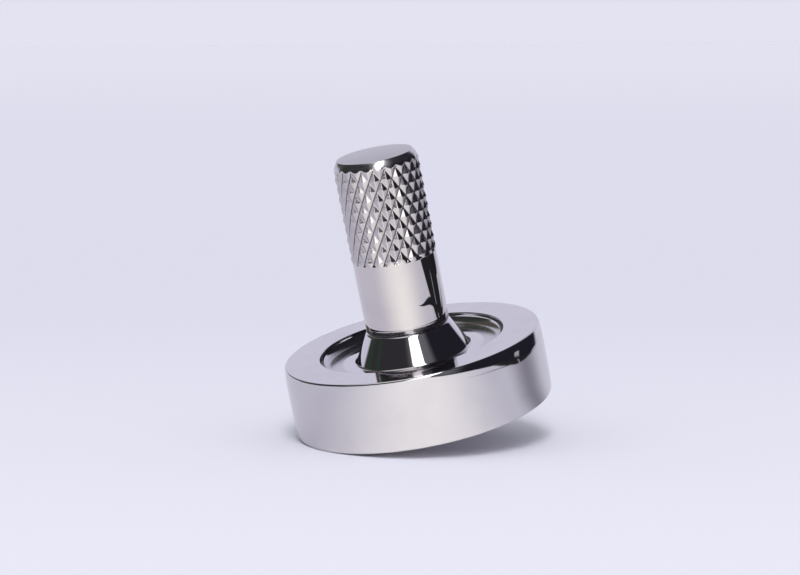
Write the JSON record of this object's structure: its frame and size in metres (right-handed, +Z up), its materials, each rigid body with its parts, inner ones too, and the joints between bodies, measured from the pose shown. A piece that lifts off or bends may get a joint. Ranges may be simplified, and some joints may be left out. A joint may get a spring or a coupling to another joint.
{
  "type": "finger spinning top",
  "caption": "Polished steel finger top with a thick-rimmed disc, conical hub and knurled screw-in grip; spins on a ball tip and rests leaning on its rim.",
  "frame": {"origin": "the point where the tip ball touches the table, with the top at rest on its rim", "axes": "+Z up from the table; -X is the way that the top leans, so the rim touches the table on the -X side; Y lies across the lean"},
  "size_m": [0.0289, 0.028, 0.0319],
  "materials": {
    "polished_steel": "mirror-polished turned stainless steel with faint turning lines",
    "grip_steel": "polished stainless steel, diamond knurl, satin end face",
    "seal_rubber": "matt black rubber",
    "tip_steel": "fine-turned stainless steel",
    "ball_steel": "mirror-polished bearing steel"
  },
  "bodies": {
    "pivot": {"tip_ball": "ball_steel"},
    "wheel": {"flywheel": "polished_steel", "tip_holder": "tip_steel"},
    "seal": {"grip_o_ring": "seal_rubber"},
    "handle": {"grip": "grip_steel"}
  },
  "joints": [
    {"name": "spin", "type": "hinge", "parent": "pivot", "child": "wheel", "pos_m": [0, 0, 0.002], "axis": [-0.2368, 0, 0.9716], "continuous": true},
    {"name": "grip_lift", "type": "slide", "parent": "wheel", "child": "seal", "axis": [-0.2368, 0, 0.9716], "range_m": [0, 0.004]},
    {"name": "grip_turn", "type": "hinge", "parent": "seal", "child": "handle", "pos_m": [0, 0, 0.002], "axis": [-0.2368, 0, 0.9716], "range_deg": [0, 1800]}
  ],
  "couplings": [
    {"joint": "grip_lift", "follows": "grip_turn", "m_per_rad": 0.00012732}
  ]
}
